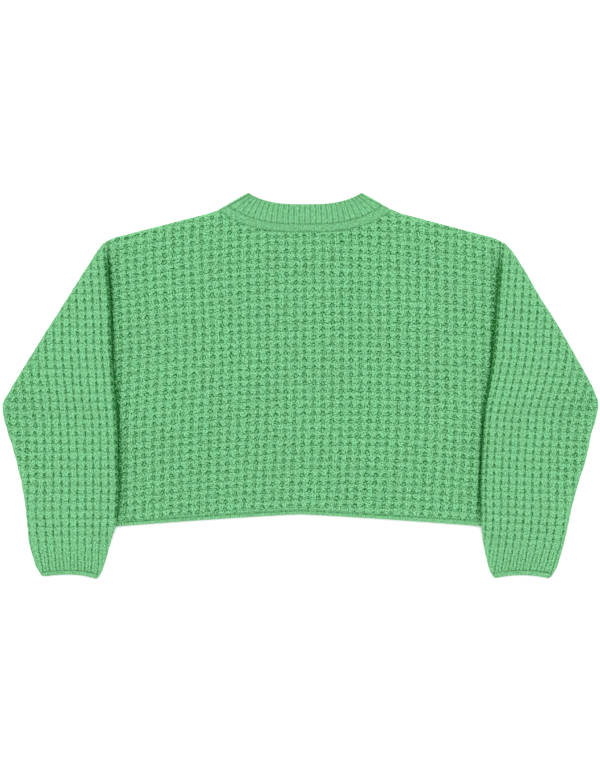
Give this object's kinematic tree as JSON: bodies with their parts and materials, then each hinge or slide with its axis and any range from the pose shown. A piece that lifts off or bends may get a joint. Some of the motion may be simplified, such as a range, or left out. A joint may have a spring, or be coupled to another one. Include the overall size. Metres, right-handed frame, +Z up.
{
  "type": "cropped knit sweater",
  "caption": "Cropped waffle-knit sweater laid flat with its back up, ribbed round neckband, narrow plain edgings and both sleeves folded down beside the body.",
  "frame": {"origin": "middle of the garment's footprint, on the surface that it lies on", "axes": "+X across the garment towards the wearer's right sleeve, +Y up the garment towards the neck, +Z up out of the back, which faces up"},
  "size_m": [0.894, 0.5762, 0.015],
  "materials": {
    "waffle_knit": "matte green yarn in a deep waffle stitch",
    "rib_knit": "matte green yarn in a narrow rib",
    "plain_knit": "matte green yarn in plain knit"
  },
  "bodies": {
    "root": {"front": "waffle_knit", "back": "waffle_knit", "sleeve_left": "waffle_knit", "sleeve_right": "waffle_knit", "neckband": "rib_knit", "neck_edging": "plain_knit", "hem_front": "plain_knit", "hem_back": "plain_knit", "cuff_left": "plain_knit", "cuff_right": "plain_knit"}
  },
  "joints": []
}
